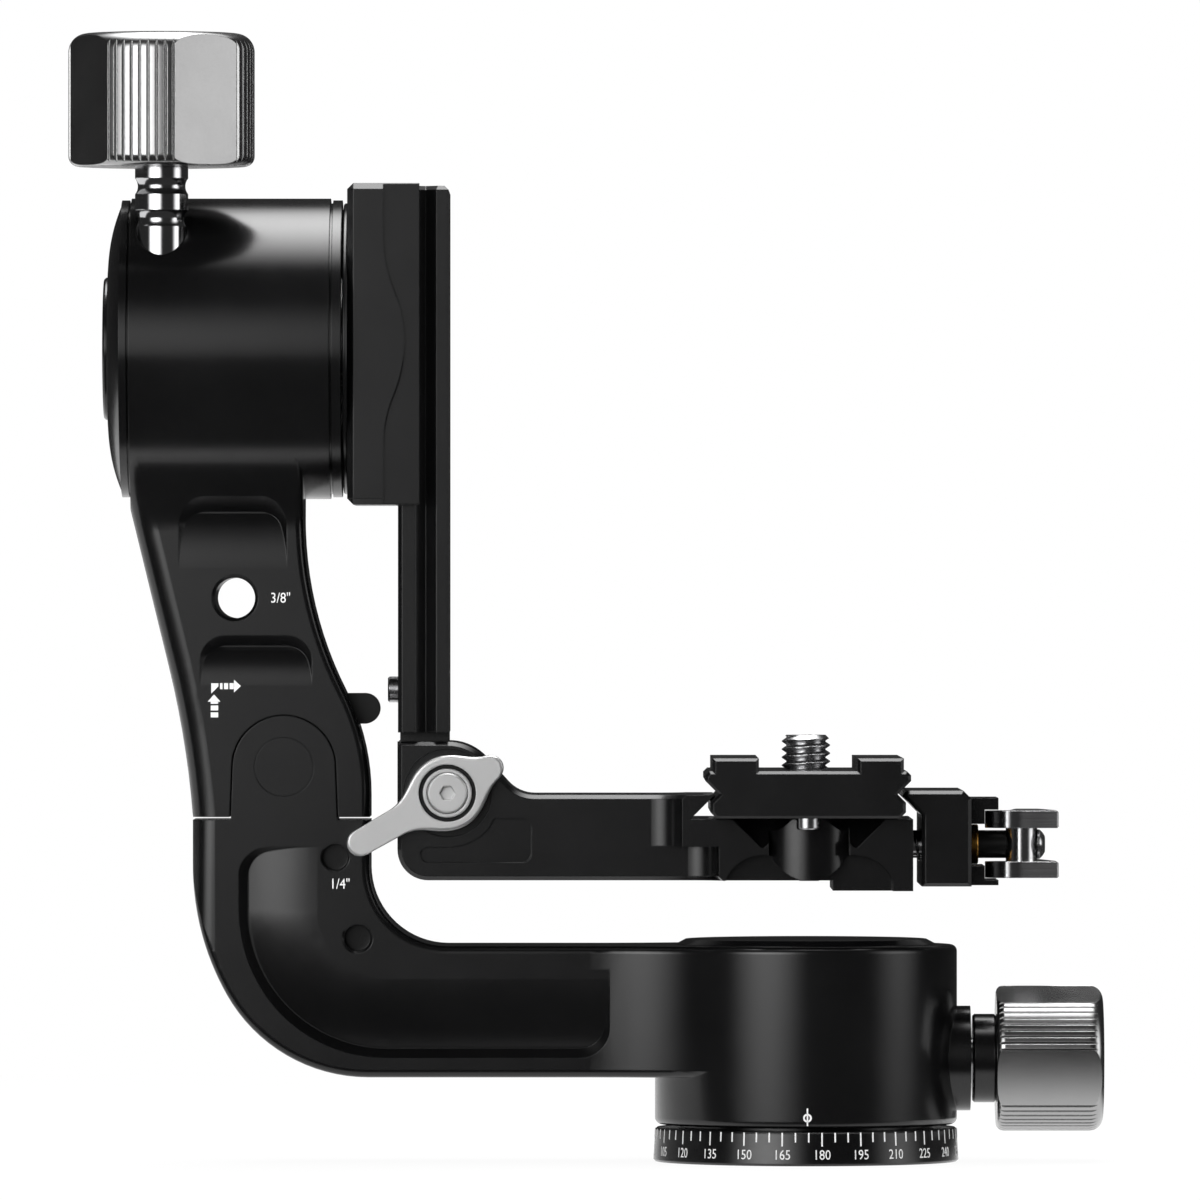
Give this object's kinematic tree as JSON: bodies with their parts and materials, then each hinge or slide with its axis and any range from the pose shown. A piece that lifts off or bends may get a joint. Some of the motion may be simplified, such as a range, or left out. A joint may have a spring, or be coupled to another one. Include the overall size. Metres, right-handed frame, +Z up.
{
  "type": "gimbal tripod head",
  "caption": "Gimbal head for a long lens: panning base, folding L-shaped arm, tilting rail clamp, and a hinged swing platform with a lever clamp for a dovetail camera plate.",
  "frame": {"origin": "on the pan axis, at the base's underside, where the tripod's stud enters", "axes": "+Z up along the pan axis; +X from the pan axis towards the pan lock knob; -Y towards the viewer of the arm's face with the fold lever"},
  "size_m": [0.2028, 0.0817, 0.221],
  "materials": {
    "black_body": "satin black hard anodised",
    "black_cap": "gloss black anodised",
    "steel_knob": "satin grey anodised, turned",
    "chrome_shaft": "polished",
    "steel_inner": "ground steel",
    "silver_lever": "bead blasted",
    "silver_cam": "polished",
    "dark_screw": "black oxide",
    "brass": "turned",
    "white_print": "white ink",
    "brake": "moulded nylon"
  },
  "bodies": {
    "base": {"base_plate": "black_body", "thread_bush": "steel_inner", "pan_spindle": "steel_inner", "pan_bearings": "steel_inner", "spindle_nut": "steel_inner"},
    "pan": {"lower_arm": "black_body", "pan_cap": "black_cap", "pan_brake_pad": "brake", "pivot_pin": "black_body"},
    "pan_knob": {"pan_knob": "steel_knob", "pan_lock_collar": "black_body", "pan_lock_screw": "steel_inner"},
    "upper_arm": {"upper_arm": "black_body", "tilt_cap": "black_body", "tilt_cap_disc": "black_cap", "tilt_ring": "black_body", "tilt_brake_pad": "brake", "latch_spring": "steel_inner"},
    "fold_latch": {"fold_latch": "dark_screw"},
    "tilt_knob": {"tilt_knob": "steel_knob", "tilt_lock_shaft": "chrome_shaft"},
    "tilt": {"tilt_nut": "steel_inner", "tilt_spindle": "steel_inner", "tilt_bearings": "steel_inner", "turning_ring": "black_body", "rail_clamp": "black_body", "clamp_screws": "dark_screw", "jaw_pins": "steel_inner"},
    "rail_jaw": {"rail_jaw": "black_body"},
    "rail_knob": {"rail_knob": "steel_knob", "rail_stud": "steel_inner", "rail_knob_collar": "black_body"},
    "rail": {"rail": "black_body", "rail_stop_screw": "steel_inner"},
    "platform": {"platform": "black_body", "hinge_bolt": "dark_screw", "draw_rod": "dark_screw", "guide_rods": "steel_inner", "jaw_springs": "steel_inner", "lever_trunnion": "silver_cam", "tension_nut": "silver_cam"},
    "fold_lever": {"fold_lever": "silver_lever", "lever_washer": "silver_lever", "lever_screw": "silver_lever"},
    "clamp_jaw": {"clamp_jaw": "black_body", "brass_washer": "brass"},
    "clamp_lever": {"clamp_lever": "silver_cam"},
    "camera_plate": {"camera_plate": "black_body", "stop_pins": "steel_inner"},
    "camera_screw": {"camera_screw": "steel_inner"}
  },
  "joints": [
    {"name": "pan_turn", "type": "hinge", "parent": "base", "child": "pan", "pos_m": [0, 0, 0], "axis": [0, 0, 1], "continuous": true},
    {"name": "pan_lock_turn", "type": "hinge", "parent": "pan", "child": "pan_knob", "pos_m": [0.045, 0, 0.0202], "axis": [1, 0, 0], "range_deg": [0, 360]},
    {"name": "arm_lift", "type": "slide", "parent": "pan", "child": "upper_arm", "axis": [0, 0, 1], "range_m": [0, 0.02]},
    {"name": "fold_latch_press", "type": "slide", "parent": "upper_arm", "child": "fold_latch", "axis": [-1, 0, 0], "range_m": [0, 0.0015], "stiffness_N_per_m": 600, "deforming": ["latch_spring"]},
    {"name": "tilt_lock_turn", "type": "hinge", "parent": "upper_arm", "child": "tilt_knob", "pos_m": [-0.1262, -0.0185, 0.2], "axis": [0, 0, 1], "range_deg": [0, 360]},
    {"name": "tilt_turn", "type": "hinge", "parent": "upper_arm", "child": "tilt", "pos_m": [-0.11, 0, 0.1597], "axis": [1, 0, 0], "range_deg": [-325, 2.5]},
    {"name": "rail_jaw_slide", "type": "slide", "parent": "tilt", "child": "rail_jaw", "axis": [0, 1, 0], "range_m": [0, 0.00175]},
    {"name": "rail_knob_turn", "type": "hinge", "parent": "rail_jaw", "child": "rail_knob", "pos_m": [-0.085, 0.035, 0.1597], "axis": [0, 1, 0], "range_deg": [0, 540]},
    {"name": "rail_slide", "type": "slide", "parent": "tilt", "child": "rail", "axis": [0, 0, 1], "range_m": [-0.004, 0.032]},
    {"name": "platform_fold", "type": "hinge", "parent": "rail", "child": "platform", "pos_m": [-0.0703, 0, 0.0726], "axis": [0, -1, 0], "range_deg": [0, 75]},
    {"name": "fold_lever_turn", "type": "hinge", "parent": "platform", "child": "fold_lever", "pos_m": [-0.0703, -0.021, 0.0726], "axis": [0, -1, 0], "range_deg": [0, 90]},
    {"name": "clamp_jaw_slide", "type": "slide", "parent": "platform", "child": "clamp_jaw", "axis": [1, 0, 0], "range_m": [0, 0.0015], "deforming": ["jaw_springs"]},
    {"name": "clamp_lever_turn", "type": "hinge", "parent": "platform", "child": "clamp_lever", "pos_m": [0.0424, 0, 0.0623], "axis": [0, 0, -1], "range_deg": [0, 90]},
    {"name": "plate_slide", "type": "slide", "parent": "platform", "child": "camera_plate", "axis": [0, 1, 0], "range_m": [-0.0045, 0.0045]},
    {"name": "camera_screw_turn", "type": "hinge", "parent": "camera_plate", "child": "camera_screw", "pos_m": [0, 0, 0.075], "axis": [0, 0, 1], "continuous": true}
  ],
  "couplings": [
    {"joint": "rail_jaw_slide", "follows": "rail_knob_turn", "m_per_rad": 0.00015915},
    {"joint": "clamp_jaw_slide", "follows": "clamp_lever_turn", "m_per_rad": 0.00095493}
  ]
}
